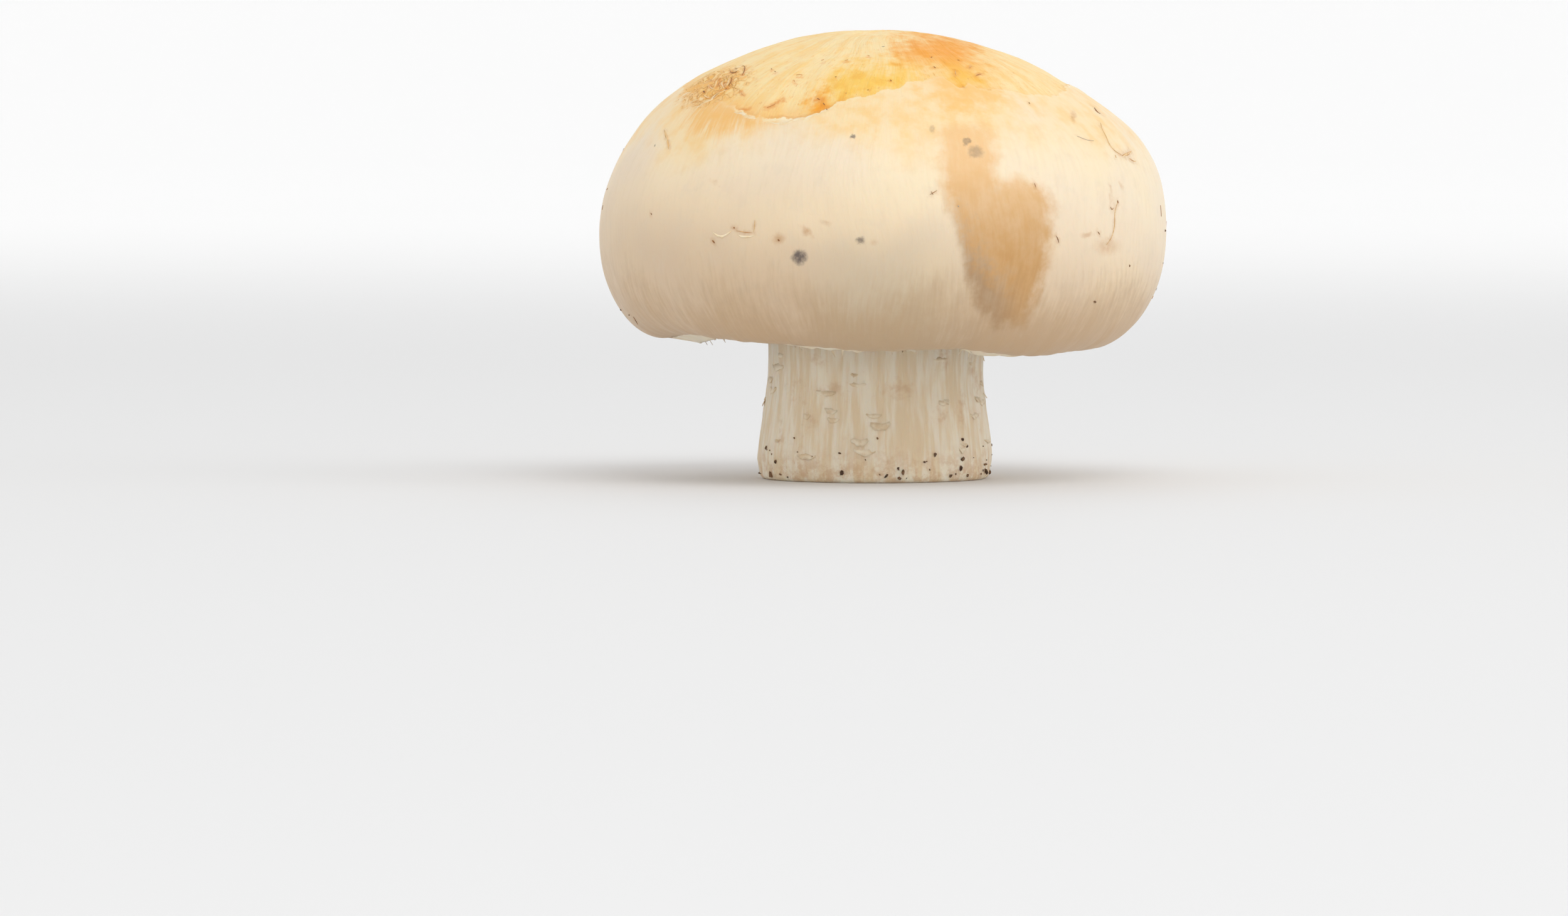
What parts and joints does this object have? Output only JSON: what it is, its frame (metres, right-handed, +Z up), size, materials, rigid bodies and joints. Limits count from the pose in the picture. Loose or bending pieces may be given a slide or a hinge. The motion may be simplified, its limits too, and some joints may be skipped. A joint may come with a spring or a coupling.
{
  "type": "button mushroom",
  "caption": "Whole white button mushroom with a broad domed cap, rolled margin, torn veil, free gills and a short stem cut flat, standing on its cut end.",
  "frame": {"origin": "centre of the knife-cut foot of the stem, on the surface that the mushroom stands on", "axes": "+Z up along the stem towards the crown of the cap, +X along the cap's widest width, -Y towards the viewer, the side with the brown stain"},
  "size_m": [0.056, 0.0544, 0.0445],
  "materials": {
    "flesh": "matte",
    "gills": "matte"
  },
  "bodies": {
    "root": {"cap_and_stem": "flesh", "gills": "gills"}
  },
  "joints": []
}
